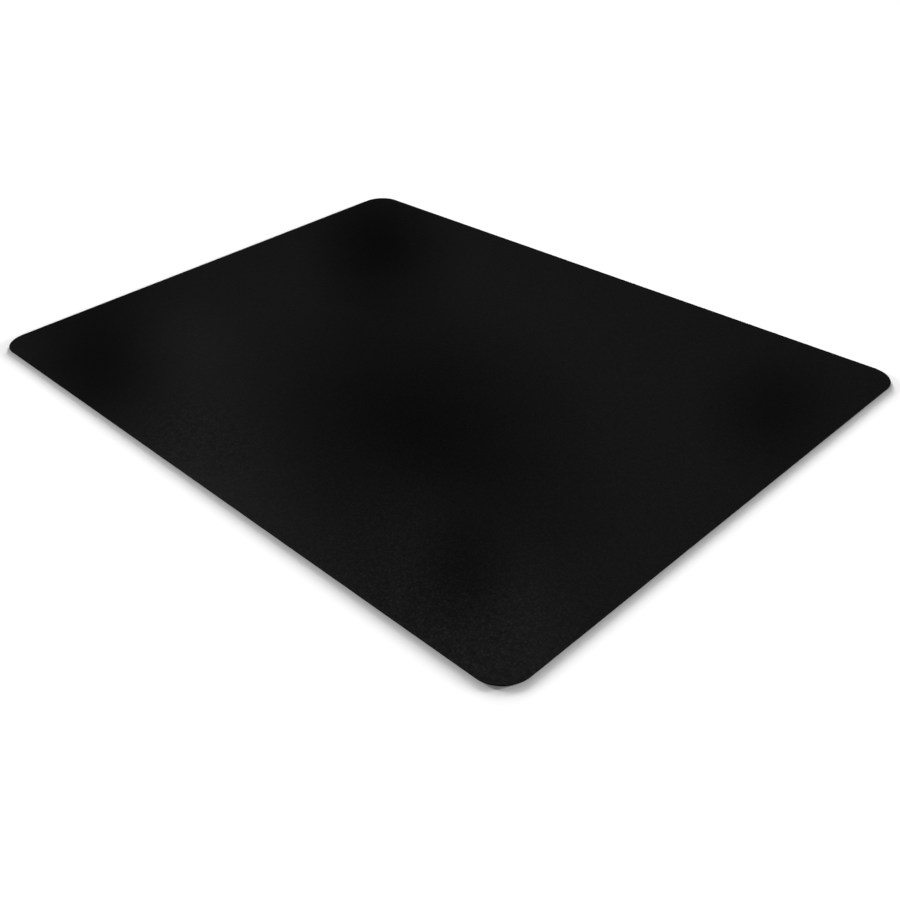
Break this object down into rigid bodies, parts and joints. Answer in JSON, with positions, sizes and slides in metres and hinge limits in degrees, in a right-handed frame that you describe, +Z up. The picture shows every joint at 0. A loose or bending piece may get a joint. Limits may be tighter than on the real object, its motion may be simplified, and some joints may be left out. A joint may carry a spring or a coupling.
{
  "type": "chair mat",
  "caption": "Flat rectangular chair mat with rounded corners: a thin black laminated sheet with a fine embossed top, for an office chair to roll on over a hard floor.",
  "frame": {"origin": "centre of the underside, on the floor plane that the mat lies on", "axes": "+X along the long side, +Y along the short side, +Z up out of the embossed top face"},
  "size_m": [1.2192, 0.9144, 0.0022],
  "materials": {
    "wear_vinyl": "matt black vinyl with a fine random pebble grain, embossed",
    "core_vinyl": "solid black vinyl, die-cut edge, satin",
    "grip_rubber": "soft matt black anti-slip compound with a fine linen emboss"
  },
  "bodies": {
    "root": {"wear_layer": "wear_vinyl", "core_sheet": "core_vinyl", "grip_backing": "grip_rubber"}
  },
  "joints": []
}
